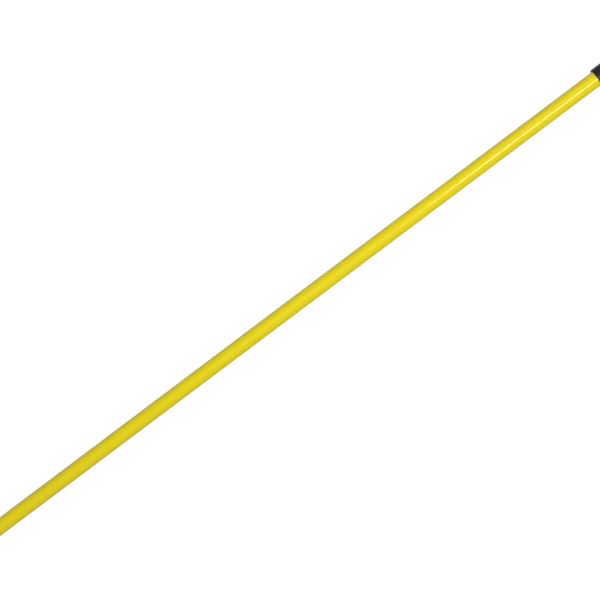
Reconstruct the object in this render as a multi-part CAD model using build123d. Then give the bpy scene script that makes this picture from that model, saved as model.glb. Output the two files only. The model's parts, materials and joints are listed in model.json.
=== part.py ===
"""Telescopic extension pole for a paint roller.

Two round tubes slide one in the other. A twist lock at the mouth of the outer tube clamps the
inner one: a nut with an inside cone runs on a threaded base and squeezes a split ring. The inner
tube ends in a screw tip for the roller frame, and the outer tube in a grip and a cap with an eye.

The pole lies along +X with its tip forward, resting on the floor at Z = 0, and its closed length
is centred on the origin. Every piece is first made upright, with its station along the pole
measured up +Z from the butt end, and is then laid down. Millimetres throughout.
"""

import os
from math import radians, tan

from build123d import *

# Tubes
OUTER_TUBE_DIAMETER = 25.0
OUTER_TUBE_WALL = 0.7
OUTER_TUBE_LENGTH = 1500.0
INNER_TUBE_WALL = 0.6

# Gaps, on the radius unless named otherwise
PRESS_GAP = 0.02  # between pieces pushed together for good
RUNNING_GAP = 0.08  # between a sliding or turning piece and its guide
LOOSE_GAP = 0.25  # between pieces that never touch
AXIAL_GAP = 0.4  # along the axis, between pieces that turn past each other
PIN_GAP = 0.05  # round a rivet or pin in its hole

# Butt cap
EYE_TAB_LENGTH = 22.0
EYE_TAB_THICKNESS = 12.0
EYE_TAB_WIDTH = 27.0
EYE_DIAMETER = 9.0
EYE_STATION = 11.5
EYE_TAB_ROUND = 1.6
EYE_TAB_ROOT = 3.0  # of the tab sunk in the flange
CAP_FLANGE_LENGTH = 16.0
CAP_EDGE_ROUND = 2.0
SPIGOT_LENGTH = 34.0
SPIGOT_WALL = 3.2

# Hand grip on the outer tube
GRIP_LENGTH = 170.0
GRIP_WALL = 3.3
GRIP_GROOVE_PITCH = 10.0
GRIP_GROOVE_WIDTH = 2.4
GRIP_GROOVE_DEPTH = 0.9
GRIP_GROOVE_START = 20.0  # from the grip's lower end to its first groove
GRIP_GROOVES = 1 + int((GRIP_LENGTH - 2 * GRIP_GROOVE_START) / GRIP_GROOVE_PITCH)
GRIP_EDGE_ROUND = 1.2

# Liner in the mouth of the outer tube
LINER_WALL = 0.7
LINER_LENGTH = 80.0
LINER_FLANGE = 1.5

# Threaded base of the twist lock
SKIRT_LENGTH = 40.0
SKIRT_WALL = 3.3
SKIRT_EDGE_ROUND = 0.8
STOP_FLANGE_LENGTH = 3.0
STOP_FLANGE_STEP = 1.0
NECK_WALL = 2.95
NECK_LENGTH = 22.0
CONE_LENGTH = 8.0
CONE_RISE = 2.15  # how much the base's mouth opens, on the radius

# Lock thread, one start
LOCK_LEAD = 4.0
LOCK_THREAD_DEPTH = 1.0
LOCK_THREAD_ROOT = 2.2
LOCK_THREAD_CREST = 1.3
LOCK_THREAD_TURNS = 3.0
LOCK_THREAD_START = 5.0  # above the end of the outer tube
LOCK_THREAD_GAP = 0.15
LOCK_THREAD_SINK = 0.3  # of the ridge's foot sunk in the neck

# Split clamp ring
CONE_GAP = 0.15
RING_FLANGE_LENGTH = 2.0
RING_FLANGE_STEP = 0.45
RING_LIP_SPACE = 1.6  # from the base's end to the ring's flange
RING_TOP_CONE = 6.0
RING_SLITS = 6
RING_SLIT_WIDTH = 1.2
RING_SLIT_BRIDGE = 3.0

# Lock nut and its soft cover
NUT_LENGTH = 46.0
NUT_WALL = 1.15
NUT_END_BAND = 3.2
NUT_NOSE_LENGTH = 9.0
NUT_NOSE_RISE = 3.4
NUT_EDGE_ROUND = 0.8
RIM_STEP = 0.06  # of the nut's rims, clear of the floor
COVER_THICKNESS = 1.5
FLUTES = 8
FLUTE_DEPTH = 1.05
FLUTE_CUTTER_RADIUS = 9.0
WIPER_LENGTH = 3.0
WIPER_RADIAL = 1.5
WIPER_INSET = 2.2

# Lower end of the inner tube
BUTT_GAP = 2.0  # along the axis, between the closed pole's washer and the cap
WASHER_THICKNESS = 1.2
BUSH_LENGTH = 32.0
BUSH_PLAY = 0.3  # along the axis, at each end of the bush
BUSH_WALL = 3.2
BUSH_GROOVES = 3
BUSH_GROOVE_WIDTH = 3.0
BUSH_GROOVE_DEPTH = 0.5
PLUG_FLANGE = 2.0
PLUG_LENGTH = 36.0
SCREW_DIAMETER = 4.0
SCREW_LENGTH = 16.0
SCREW_HEAD_DIAMETER = 8.0
SCREW_HEAD_HEIGHT = 2.8
SCREW_SLOT_WIDTH = 1.0
SCREW_SLOT_DEPTH = 1.2
STOP_GAP = 0.5  # along the axis, left between bush and liner at full length

# Screw tip for the roller frame: 3/4 inch, 5 turns to the inch
TIP_PROTRUSION = 18.0  # of bare inner tube past the nut when the pole is closed
COLLAR_LENGTH = 16.0
COLLAR_STEP = 1.2
COLLAR_TAPER = 0.9
COLLAR_ROUND = 0.8
FERRULE_PLUG_LENGTH = 32.0
TIP_SHANK_DIAMETER = 10.0
TIP_SHANK_END = 4.0  # of ferrule left below the shank
TIP_THREAD_DIAMETER = 19.05
TIP_THREAD_LENGTH = 24.0
TIP_PITCH = 5.08
TIP_THREAD_DEPTH = 2.6
TIP_FLANK = 14.5  # degrees, each side
TIP_CREST_SHARE = 0.37  # of the pitch
TIP_CHAMFER = 2.4
TIP_FLANGE_LENGTH = 2.0
TIP_FLANGE_STEP = 0.675  # outside the thread's crest
TIP_SEAT_LENGTH = 3.0
TIP_SEAT_STEP = 0.225  # inside the thread's crest
TIP_NOSE_LENGTH = 3.0
TIP_NOSE_STEP = 0.325  # inside the thread's root

# Fasteners
PIN_DIAMETER = 3.0
RIVET_HEAD_DIAMETER = 6.4
RIVET_HEAD_HEIGHT = 1.4
RIVET_SPOT_DEPTH = 0.6
BASE_RIVET_STATION = 28.0  # from the skirt's lower edge
CAP_RIVET_STATION = 17.0  # from the lower end of the outer tube
PLUG_PIN_STATION = 18.0  # from the lower end of the inner tube
TIP_PIN_STATION = 8.0  # from the upper end of the inner tube
PIN_SINK = 0.25  # how far a flush pin's end lies under the tube's skin

# Radii that follow from the tubes outwards and inwards
OUTER_RADIUS = OUTER_TUBE_DIAMETER / 2
OUTER_BORE = OUTER_RADIUS - OUTER_TUBE_WALL
LINER_RADIUS = OUTER_BORE - PRESS_GAP
LINER_BORE = LINER_RADIUS - LINER_WALL
INNER_RADIUS = LINER_BORE - RUNNING_GAP
INNER_BORE = INNER_RADIUS - INNER_TUBE_WALL
SKIRT_RADIUS = OUTER_RADIUS + SKIRT_WALL
GRIP_RADIUS = OUTER_RADIUS + GRIP_WALL
BASE_BORE = INNER_RADIUS + LOOSE_GAP
NECK_RADIUS = BASE_BORE + NECK_WALL
MOUTH_RADIUS = BASE_BORE + CONE_RISE
THREAD_CREST_RADIUS = NECK_RADIUS + LOCK_THREAD_DEPTH
NUT_BORE = NECK_RADIUS + LOCK_THREAD_GAP
NUT_CORE_RADIUS = THREAD_CREST_RADIUS + LOCK_THREAD_GAP + NUT_WALL
NUT_RADIUS = NUT_CORE_RADIUS + COVER_THICKNESS
PIN_RADIUS = PIN_DIAMETER / 2

# Stations that follow, from the butt end up
TUBE_START = EYE_TAB_LENGTH + CAP_FLANGE_LENGTH
TUBE_END = TUBE_START + OUTER_TUBE_LENGTH
GRIP_END = TUBE_START + GRIP_LENGTH
SPIGOT_END = TUBE_START + SPIGOT_LENGTH
SKIRT_START = TUBE_END - SKIRT_LENGTH
NECK_END = TUBE_END + NECK_LENGTH
NUT_START = TUBE_END + AXIAL_GAP
NUT_END = NUT_START + NUT_LENGTH
WASHER_START = SPIGOT_END + BUTT_GAP
NECK_START = WASHER_START + WASHER_THICKNESS
BUSH_START = NECK_START + BUSH_PLAY
BUSH_END = BUSH_START + BUSH_LENGTH
INNER_START = BUSH_END + BUSH_PLAY + PLUG_FLANGE
INNER_END = NUT_END + TIP_PROTRUSION
COLLAR_END = INNER_END + COLLAR_LENGTH
SEAT_START = COLLAR_END + TIP_FLANGE_LENGTH
THREAD_START = SEAT_START + TIP_SEAT_LENGTH
THREAD_END = THREAD_START + TIP_THREAD_LENGTH
CLOSED_LENGTH = THREAD_END + TIP_NOSE_LENGTH
TRAVEL = TUBE_END - LINER_LENGTH - STOP_GAP - BUSH_END
BASE_RIVET_Z = SKIRT_START + BASE_RIVET_STATION
CAP_RIVET_Z = TUBE_START + CAP_RIVET_STATION
PLUG_PIN_Z = INNER_START + PLUG_PIN_STATION
TIP_PIN_Z = INNER_END - TIP_PIN_STATION

# Flutes: the cutter's centre, and the height of the axis with the pole lying on two lands
FLUTE_CENTRE = NUT_RADIUS - FLUTE_DEPTH + FLUTE_CUTTER_RADIUS
LAND_COSINE = (NUT_RADIUS**2 + FLUTE_CENTRE**2 - FLUTE_CUTTER_RADIUS**2) / (
    2 * NUT_RADIUS * FLUTE_CENTRE
)
AXIS_HEIGHT = NUT_RADIUS * LAND_COSINE
RIM_RADIUS = AXIS_HEIGHT - RIM_STEP


def turned(*corners):
    """A solid turned about the axis from corners of (radius, station) or (radius, station, rounding)."""
    points = [corner[:2] for corner in corners]
    rounding = [corner[2] if len(corner) == 3 else 0.0 for corner in corners]
    outline = FilletPolyline(*points, radius=rounding, close=True)
    return revolve(Plane.XZ * make_face(outline), Axis.Z)


def ring(inner_radius, outer_radius, start, end):
    """A plain round tube, or a rod where the inner radius is nothing."""
    return turned((inner_radius, start), (outer_radius, start), (outer_radius, end), (inner_radius, end))


def cross_rod(radius, station, start, end):
    """A rod along Y at a station, from one distance off the axis to another."""
    flat = Plane(origin=(0, start, station), x_dir=(1, 0, 0), z_dir=(0, 1, 0))
    return extrude(flat * Circle(radius), end - start)


def both_sides(piece):
    """The piece and its twin, half a turn round the axis."""
    return [piece, Rot(0, 0, 180) * piece]


def cut_all(solid, cutters):
    """The solid with each cutter taken out in turn."""
    for cutter in cutters:
        solid -= cutter
    return solid


def thread_body(root_radius, crest_radius, root_width, crest_width, lead, start, turns):
    """A helical ridge of trapezoid section that climbs from a station."""
    path = Helix(pitch=lead, height=lead * turns, radius=root_radius, center=(0, 0, start))
    rise = crest_radius - root_radius
    section = Plane(origin=path @ 0, x_dir=(1, 0, 0), z_dir=path % 0) * make_face(
        Polyline(
            (0, -root_width / 2),
            (rise, -crest_width / 2),
            (rise, crest_width / 2),
            (0, root_width / 2),
            close=True,
        )
    )
    return sweep(section, path=path, is_frenet=True)


def fluted(solid, start, end):
    """The solid with finger flutes cut along it between two stations, one of them facing the floor."""
    cutters = [
        Rot(0, 0, 360 * flute / FLUTES)
        * Pos(FLUTE_CENTRE, 0, start)
        * extrude(Circle(FLUTE_CUTTER_RADIUS), end - start)
        for flute in range(FLUTES)
    ]
    return cut_all(solid, cutters)


def outer_tube():
    """Painted tube that the hands hold, with holes for the rivets of the cap and the lock base."""
    tube = ring(OUTER_BORE, OUTER_RADIUS, TUBE_START, TUBE_END)
    hole = PIN_RADIUS + PIN_GAP
    beyond = OUTER_RADIUS + 1
    for station in (CAP_RIVET_Z, BASE_RIVET_Z):
        tube -= cross_rod(hole, station, -beyond, beyond)
    return tube


def eye_tab():
    """Flat tab with a round end and an eye across it, its root sunk in the cap's flange."""
    half_width = EYE_TAB_WIDTH / 2
    root = EYE_TAB_LENGTH + EYE_TAB_ROOT
    side = Plane(origin=(-EYE_TAB_THICKNESS / 2, 0, 0), x_dir=(0, 1, 0), z_dir=(1, 0, 0))
    outline = Pos(0, half_width) * Circle(half_width)
    outline += Pos(0, (half_width + root) / 2) * Rectangle(EYE_TAB_WIDTH, root - half_width)
    tab = extrude(side * outline, EYE_TAB_THICKNESS)
    tab = fillet(tab.faces().filter_by(Axis.X).edges(), EYE_TAB_ROUND)
    return tab - extrude(side * Pos(0, EYE_STATION) * Circle(EYE_DIAMETER / 2), EYE_TAB_THICKNESS)


def butt_cap():
    """Cap pushed into the butt end: a spigot, a fluted flange and a flat tab with an eye to hang it by."""
    spigot_radius = OUTER_BORE - PRESS_GAP
    body = turned(
        (0, EYE_TAB_LENGTH),
        (NUT_RADIUS, EYE_TAB_LENGTH, CAP_EDGE_ROUND),
        (NUT_RADIUS, TUBE_START, CAP_EDGE_ROUND / 2),
        (spigot_radius, TUBE_START),
        (spigot_radius, SPIGOT_END, CAP_EDGE_ROUND / 2),
        (spigot_radius - SPIGOT_WALL, SPIGOT_END),
        (spigot_radius - SPIGOT_WALL, TUBE_START),
        (0, TUBE_START),
    )
    body = fluted(body, EYE_TAB_LENGTH, TUBE_START)
    body += eye_tab()
    for rod in both_sides(cross_rod(PIN_RADIUS + PIN_GAP, CAP_RIVET_Z, 0, OUTER_RADIUS)):
        body -= rod
    return body


def cap_rivets():
    """Two flush rivets that hold the cap's spigot in the tube, under the grip."""
    inner_end = OUTER_BORE - PRESS_GAP - SPIGOT_WALL
    return both_sides(cross_rod(PIN_RADIUS, CAP_RIVET_Z, inner_end, OUTER_RADIUS - PIN_SINK))


def grip_sleeve():
    """Soft sleeve over the lower end of the outer tube, with grooves round it."""
    corners = [(OUTER_RADIUS, TUBE_START), (GRIP_RADIUS, TUBE_START, GRIP_EDGE_ROUND / 2)]
    for groove in range(GRIP_GROOVES):
        start = TUBE_START + GRIP_GROOVE_START + groove * GRIP_GROOVE_PITCH
        bottom = GRIP_RADIUS - GRIP_GROOVE_DEPTH
        slope = GRIP_GROOVE_WIDTH / 4
        corners += [
            (GRIP_RADIUS, start),
            (bottom, start + slope),
            (bottom, start + GRIP_GROOVE_WIDTH - slope),
            (GRIP_RADIUS, start + GRIP_GROOVE_WIDTH),
        ]
    corners += [(GRIP_RADIUS, GRIP_END, GRIP_EDGE_ROUND), (OUTER_RADIUS, GRIP_END)]
    return turned(*corners)


def guide_liner():
    """Slippery sleeve in the mouth of the outer tube, hung by its flange. Its lower end is the stop."""
    return turned(
        (LINER_BORE, TUBE_END - LINER_LENGTH),
        (LINER_RADIUS, TUBE_END - LINER_LENGTH),
        (LINER_RADIUS, TUBE_END),
        (OUTER_RADIUS, TUBE_END),
        (OUTER_RADIUS, TUBE_END + LINER_FLANGE),
        (LINER_BORE, TUBE_END + LINER_FLANGE),
    )


def lock_base():
    """Moulded base over the end of the outer tube: skirt, stop flange, threaded neck and coned mouth."""
    bore = OUTER_RADIUS + PRESS_GAP
    flange_top = TUBE_END
    flange_radius = SKIRT_RADIUS + STOP_FLANGE_STEP
    body = turned(
        (bore, SKIRT_START),
        (SKIRT_RADIUS, SKIRT_START, SKIRT_EDGE_ROUND),
        (SKIRT_RADIUS, flange_top - STOP_FLANGE_LENGTH - STOP_FLANGE_STEP),
        (flange_radius, flange_top - STOP_FLANGE_LENGTH),
        (flange_radius, flange_top, SKIRT_EDGE_ROUND / 2),
        (NECK_RADIUS, flange_top),
        (NECK_RADIUS, NECK_END),
        (MOUTH_RADIUS, NECK_END),
        (BASE_BORE, NECK_END - CONE_LENGTH),
        (BASE_BORE, TUBE_END + LINER_FLANGE),
        (bore, TUBE_END + LINER_FLANGE),
    )
    spread = (LOCK_THREAD_ROOT - LOCK_THREAD_CREST) / LOCK_THREAD_DEPTH
    body += thread_body(
        NECK_RADIUS - LOCK_THREAD_SINK,
        THREAD_CREST_RADIUS,
        LOCK_THREAD_ROOT + LOCK_THREAD_SINK * spread,
        LOCK_THREAD_CREST,
        LOCK_LEAD,
        TUBE_END + LOCK_THREAD_START,
        LOCK_THREAD_TURNS,
    )
    spot_face = SKIRT_RADIUS - RIVET_SPOT_DEPTH
    head_room = RIVET_HEAD_DIAMETER / 2 + PIN_GAP
    for rod in both_sides(cross_rod(PIN_RADIUS + PIN_GAP, BASE_RIVET_Z, OUTER_BORE, SKIRT_RADIUS)):
        body -= rod
    for rod in both_sides(cross_rod(head_room, BASE_RIVET_Z, spot_face, SKIRT_RADIUS + 1)):
        body -= rod
    return body


def base_rivets():
    """Two domed rivets that hold the lock base on the outer tube."""
    spot_face = SKIRT_RADIUS - RIVET_SPOT_DEPTH
    head_radius = RIVET_HEAD_DIAMETER / 2
    head = turned(
        (0, spot_face),
        (head_radius, spot_face),
        (head_radius, spot_face + RIVET_HEAD_HEIGHT, RIVET_HEAD_HEIGHT * 0.8),
        (0, spot_face + RIVET_HEAD_HEIGHT),
    )
    rivet = Pos(0, 0, BASE_RIVET_Z) * Rot(-90, 0, 0) * head
    rivet += cross_rod(PIN_RADIUS, BASE_RIVET_Z, OUTER_BORE, spot_face)
    return both_sides(rivet)


def clamp_ring():
    """Split ring with a cone at each end, slit from both ends in turn so that it can close on the tube."""
    bore = INNER_RADIUS + RUNNING_GAP
    slope = CONE_RISE / CONE_LENGTH
    shoulder = MOUTH_RADIUS - CONE_GAP
    foot = bore + (MOUTH_RADIUS - BASE_BORE) / 4
    foot_station = NECK_END - (shoulder - foot) / slope
    flange_start = NECK_END + RING_LIP_SPACE
    flange_end = flange_start + RING_FLANGE_LENGTH
    flange_radius = shoulder + RING_FLANGE_STEP
    top = flange_end + RING_TOP_CONE
    body = turned(
        (bore, foot_station),
        (foot, foot_station),
        (shoulder, NECK_END),
        (shoulder, flange_start),
        (flange_radius, flange_start),
        (flange_radius, flange_end),
        (shoulder, flange_end),
        (shoulder - RING_TOP_CONE * slope, top),
        (bore, top),
    )
    from_axis = (Align.MIN, Align.CENTER, Align.MIN)
    slit = Box(flange_radius * 2, RING_SLIT_WIDTH, top - foot_station, align=from_axis)
    for number in range(RING_SLITS):
        if number == 0:
            shift = 0.0
        else:
            shift = RING_SLIT_BRIDGE if number % 2 else -RING_SLIT_BRIDGE
        body -= Rot(0, 0, 360 * number / RING_SLITS) * Pos(0, 0, foot_station + shift) * slit
    return body


def lock_nut():
    """Nut of the twist lock: threaded skirt, recess that carries the ring, inside cone and wiper seat."""
    slope = CONE_RISE / CONE_LENGTH
    ring_shoulder = MOUTH_RADIUS - CONE_GAP
    flange_start = NECK_END + RING_LIP_SPACE
    flange_end = flange_start + RING_FLANGE_LENGTH
    lip_start = NECK_END + AXIAL_GAP
    recess_start = flange_start - CONE_GAP
    recess_end = flange_end + CONE_GAP
    recess_radius = ring_shoulder + RING_FLANGE_STEP + CONE_GAP
    cone_end = flange_end + RING_TOP_CONE + AXIAL_GAP
    cone_foot = MOUTH_RADIUS - (cone_end - flange_end) * slope
    mouth = INNER_RADIUS + LOOSE_GAP
    wiper_seat = INNER_RADIUS + RUNNING_GAP + WIPER_RADIAL + PRESS_GAP
    wiper_end = NUT_END - WIPER_INSET
    wiper_start = wiper_end - WIPER_LENGTH
    nose_start = NUT_END - NUT_NOSE_LENGTH
    body = turned(
        (NUT_BORE, NUT_START),
        (RIM_RADIUS, NUT_START, NUT_EDGE_ROUND),
        (RIM_RADIUS, NUT_START + NUT_END_BAND),
        (NUT_CORE_RADIUS, NUT_START + NUT_END_BAND),
        (NUT_CORE_RADIUS, nose_start - NUT_END_BAND),
        (RIM_RADIUS, nose_start - NUT_END_BAND),
        (RIM_RADIUS, nose_start, NUT_EDGE_ROUND * 2),
        (RIM_RADIUS - NUT_NOSE_RISE, NUT_END, NUT_EDGE_ROUND),
        (mouth, NUT_END),
        (mouth, wiper_end),
        (wiper_seat, wiper_end),
        (wiper_seat, wiper_start),
        (mouth, wiper_start),
        (mouth, cone_end),
        (cone_foot, cone_end),
        (MOUTH_RADIUS - CONE_GAP * slope, recess_end),
        (recess_radius, recess_end),
        (recess_radius, recess_start),
        (MOUTH_RADIUS, recess_start),
        (MOUTH_RADIUS, lip_start),
        (NUT_BORE, lip_start),
    )
    groove = thread_body(
        NECK_RADIUS - LOCK_THREAD_GAP,
        THREAD_CREST_RADIUS + LOCK_THREAD_GAP,
        LOCK_THREAD_ROOT + 2 * LOCK_THREAD_GAP,
        LOCK_THREAD_CREST + 2 * LOCK_THREAD_GAP,
        LOCK_LEAD,
        TUBE_END + LOCK_THREAD_START - 2 * LOCK_LEAD,
        LOCK_THREAD_TURNS + 2.5,
    )
    return body - groove


def nut_cover():
    """Soft fluted cover moulded round the nut."""
    start = NUT_START + NUT_END_BAND
    end = NUT_END - NUT_NOSE_LENGTH - NUT_END_BAND
    return fluted(ring(NUT_CORE_RADIUS, NUT_RADIUS, start, end), start, end)


def mouth_wiper():
    """Felt ring in the nut's mouth that keeps paint and dust off the clamp ring."""
    bore = INNER_RADIUS + RUNNING_GAP
    end = NUT_END - WIPER_INSET
    return ring(bore, bore + WIPER_RADIAL, end - WIPER_LENGTH, end)


def inner_tube():
    """Sliding tube, cross-drilled near both ends."""
    tube = ring(INNER_BORE, INNER_RADIUS, INNER_START, INNER_END)
    beyond = INNER_RADIUS + 1
    for station in (PLUG_PIN_Z, TIP_PIN_Z):
        tube -= cross_rod(PIN_RADIUS + PIN_GAP, station, -beyond, beyond)
    return tube


def end_plug():
    """Plug in the lower end of the inner tube, with a neck below it that the guide bush turns on."""
    plug_radius = INNER_BORE - PRESS_GAP
    flange_radius = INNER_RADIUS - PIN_SINK
    neck_radius = OUTER_BORE - RUNNING_GAP - BUSH_WALL - RUNNING_GAP
    flange_start = INNER_START - PLUG_FLANGE
    pilot = SCREW_DIAMETER / 2 + PRESS_GAP
    body = turned(
        (0, NECK_START + SCREW_LENGTH + 1),
        (pilot, NECK_START + SCREW_LENGTH + 1),
        (pilot, NECK_START),
        (neck_radius, NECK_START),
        (neck_radius, flange_start),
        (flange_radius, flange_start),
        (flange_radius, INNER_START),
        (plug_radius, INNER_START),
        (plug_radius, INNER_START + PLUG_LENGTH, 1.5),
        (0, INNER_START + PLUG_LENGTH),
    )
    return body - cross_rod(PIN_RADIUS + PIN_GAP, PLUG_PIN_Z, -INNER_RADIUS, INNER_RADIUS)


def plug_pin():
    """Pin across the inner tube that holds its end plug."""
    reach = INNER_RADIUS - PIN_SINK
    return cross_rod(PIN_RADIUS, PLUG_PIN_Z, -reach, reach)


def guide_bush():
    """Bush that runs in the outer tube and stays still while the inner tube turns."""
    outside = OUTER_BORE - RUNNING_GAP
    body = ring(outside - BUSH_WALL, outside, BUSH_START, BUSH_END)
    space = (BUSH_LENGTH - BUSH_GROOVES * BUSH_GROOVE_WIDTH) / (BUSH_GROOVES + 1)
    for groove in range(BUSH_GROOVES):
        start = BUSH_START + space + groove * (space + BUSH_GROOVE_WIDTH)
        body -= ring(outside - BUSH_GROOVE_DEPTH, outside + 1, start, start + BUSH_GROOVE_WIDTH)
    return body


def bush_washer():
    """Washer that keeps the guide bush on the plug's neck."""
    bore = SCREW_DIAMETER / 2 + PIN_GAP
    outside = OUTER_BORE - 2 * RUNNING_GAP - BUSH_WALL / 2
    return ring(bore, outside, WASHER_START, WASHER_START + WASHER_THICKNESS)


def bush_screw():
    """Slotted screw through the washer into the plug's neck."""
    head_radius = SCREW_HEAD_DIAMETER / 2
    head_start = WASHER_START - SCREW_HEAD_HEIGHT
    body = turned(
        (0, head_start),
        (head_radius, head_start, 1.0),
        (head_radius, WASHER_START),
        (SCREW_DIAMETER / 2, WASHER_START),
        (SCREW_DIAMETER / 2, NECK_START + SCREW_LENGTH),
        (0, NECK_START + SCREW_LENGTH),
    )
    slot = Box(SCREW_HEAD_DIAMETER + 1, SCREW_SLOT_WIDTH, SCREW_SLOT_DEPTH * 2)
    return body - Pos(0, 0, head_start) * slot


def tip_ferrule():
    """Moulded ferrule: a plug in the inner tube and a collar that carries the screw tip."""
    plug_radius = INNER_BORE - PRESS_GAP
    collar_radius = INNER_RADIUS + COLLAR_STEP
    shank_bore = TIP_SHANK_DIAMETER / 2 + PRESS_GAP
    plug_start = INNER_END - FERRULE_PLUG_LENGTH
    body = turned(
        (0, plug_start),
        (plug_radius, plug_start, 1.0),
        (plug_radius, INNER_END),
        (collar_radius, INNER_END, COLLAR_ROUND),
        (collar_radius, INNER_END + COLLAR_LENGTH / 2),
        (collar_radius - COLLAR_TAPER, COLLAR_END, COLLAR_ROUND),
        (shank_bore, COLLAR_END),
        (shank_bore, plug_start + TIP_SHANK_END),
        (0, plug_start + TIP_SHANK_END),
    )
    return body - cross_rod(PIN_RADIUS + PIN_GAP, TIP_PIN_Z, -INNER_RADIUS, INNER_RADIUS)


def tip_thread_groove():
    """The helical groove between the threads of the tip, run out past both ends of the thread."""
    crest = TIP_THREAD_DIAMETER / 2
    overcut = TIP_FLANGE_STEP
    open_width = TIP_PITCH * (1 - TIP_CREST_SHARE)
    spread = 2 * tan(radians(TIP_FLANK))
    return thread_body(
        crest - TIP_THREAD_DEPTH,
        crest + overcut,
        open_width - TIP_THREAD_DEPTH * spread,
        open_width + overcut * spread,
        TIP_PITCH,
        THREAD_START + TIP_PITCH / 2,
        TIP_THREAD_LENGTH / TIP_PITCH,
    )


def threaded_tip():
    """Cast metal tip: shank, flange, plain seat, coarse thread and a nose that leads it in."""
    crest = TIP_THREAD_DIAMETER / 2
    seat = crest - TIP_SEAT_STEP
    flange = crest + TIP_FLANGE_STEP
    nose = crest - TIP_THREAD_DEPTH - TIP_NOSE_STEP
    shank = TIP_SHANK_DIAMETER / 2
    shank_start = INNER_END - FERRULE_PLUG_LENGTH + TIP_SHANK_END + PIN_GAP
    body = turned(
        (0, shank_start),
        (shank, shank_start, 0.6),
        (shank, COLLAR_END),
        (flange, COLLAR_END),
        (flange, SEAT_START),
        (seat, SEAT_START),
        (seat, THREAD_START),
        (crest, THREAD_START),
        (crest, THREAD_END),
        (0, THREAD_END),
    )
    body -= tip_thread_groove()
    slope = (crest - nose) / TIP_CHAMFER
    body -= turned(
        (nose, THREAD_END),
        (nose, THREAD_END + 1),
        (crest + slope, THREAD_END + 1),
        (crest + slope, THREAD_END - TIP_CHAMFER - 1),
    )
    body += turned(
        (0, THREAD_END - 1),
        (nose, THREAD_END - 1),
        (nose, CLOSED_LENGTH, 0.8),
        (0, CLOSED_LENGTH),
    )
    return body - cross_rod(PIN_RADIUS + PIN_GAP, TIP_PIN_Z, -shank - 1, shank + 1)


def tip_pin():
    """Pin across the inner tube, the ferrule and the tip's shank."""
    reach = INNER_RADIUS - PIN_SINK
    return cross_rod(PIN_RADIUS, TIP_PIN_Z, -reach, reach)


PIECES = (
    outer_tube,
    butt_cap,
    cap_rivets,
    grip_sleeve,
    guide_liner,
    lock_base,
    base_rivets,
    clamp_ring,
    lock_nut,
    nut_cover,
    mouth_wiper,
    inner_tube,
    end_plug,
    plug_pin,
    guide_bush,
    bush_washer,
    bush_screw,
    tip_ferrule,
    threaded_tip,
    tip_pin,
)


def main():
    """Make every piece, lay it down along +X and write it."""
    os.makedirs("parts", exist_ok=True)
    lay_down = Pos(-CLOSED_LENGTH / 2, 0, AXIS_HEIGHT) * Rot(0, 90, 0)
    for make in PIECES:
        made = make()
        solids = made if isinstance(made, list) else [made]
        placed = [solid for piece in solids for solid in (lay_down * piece).solids()]
        export_step(Compound(placed), f"parts/{make.__name__}.step")
    print(f"closed {CLOSED_LENGTH:.1f} mm, travel {TRAVEL:.1f} mm, axis {AXIS_HEIGHT:.3f} mm above the floor")


if __name__ == "__main__":
    main()
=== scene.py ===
"""Studio scene of a telescopic extension pole for a paint roller.

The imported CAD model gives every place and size. The two tubes, the grip, the nut's cover and the
tip's ferrule are turned again here as fine meshes, and every other CAD piece keeps its shape and is
given its finish.
"""

from __future__ import annotations

import json
import logging
import math
from dataclasses import dataclass, field
from enum import Enum
from typing import Any, Iterable, Sequence

import bmesh
import bpy
from mathutils import Matrix, Vector

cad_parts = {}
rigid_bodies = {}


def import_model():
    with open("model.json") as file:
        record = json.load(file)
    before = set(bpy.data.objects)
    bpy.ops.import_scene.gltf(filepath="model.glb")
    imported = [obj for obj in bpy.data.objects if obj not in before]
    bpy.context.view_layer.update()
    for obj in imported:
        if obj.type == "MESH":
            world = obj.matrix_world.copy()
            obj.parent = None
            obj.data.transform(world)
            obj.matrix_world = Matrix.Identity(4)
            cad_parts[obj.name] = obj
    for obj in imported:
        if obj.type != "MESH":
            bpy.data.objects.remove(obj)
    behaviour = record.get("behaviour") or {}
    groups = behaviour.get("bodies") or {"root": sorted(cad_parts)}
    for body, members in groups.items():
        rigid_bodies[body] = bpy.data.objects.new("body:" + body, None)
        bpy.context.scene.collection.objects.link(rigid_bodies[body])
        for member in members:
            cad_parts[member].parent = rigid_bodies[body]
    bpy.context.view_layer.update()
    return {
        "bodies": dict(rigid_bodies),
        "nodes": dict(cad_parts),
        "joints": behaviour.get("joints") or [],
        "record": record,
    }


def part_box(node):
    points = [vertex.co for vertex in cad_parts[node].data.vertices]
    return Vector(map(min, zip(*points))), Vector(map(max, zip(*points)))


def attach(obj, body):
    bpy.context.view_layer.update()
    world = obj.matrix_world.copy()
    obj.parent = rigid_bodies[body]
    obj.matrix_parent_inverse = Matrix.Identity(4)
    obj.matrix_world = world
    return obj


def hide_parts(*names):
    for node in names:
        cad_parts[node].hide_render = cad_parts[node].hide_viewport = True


LOG = logging.getLogger("roller_pole")
MM = 0.001
FULL_TURN = 2 * math.pi

# The nut's cover is bigger than the grip, so the dust in its hollows starts further out.
COVER = "_cover"

# A noise texture's values mostly lie between these.
NOISE_LOW = 0.3
NOISE_HIGH = 0.7

# In the shared effects: the pits' part in the grain, the grain's softness, the width of a scuff's
# edge, and how far patches break up what lies in the hollows.
PIT_WEIGHT = 0.35
GRAIN_SOFTNESS = 0.45
SCUFF_FADE = 0.12
PATCH_WEIGHT = 0.9

# How far light goes into the moulded plastics, in metres.
GLOW_DEPTH = 0.002

# Turned meshes: points closer than this are one, in metres; a drill's faces; a kept edge's angle.
MERGE_DISTANCE = 2e-6
DRILL_FACES = 48
SHARP_ANGLE = math.radians(40)

Colour = tuple[float, float, float]


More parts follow.
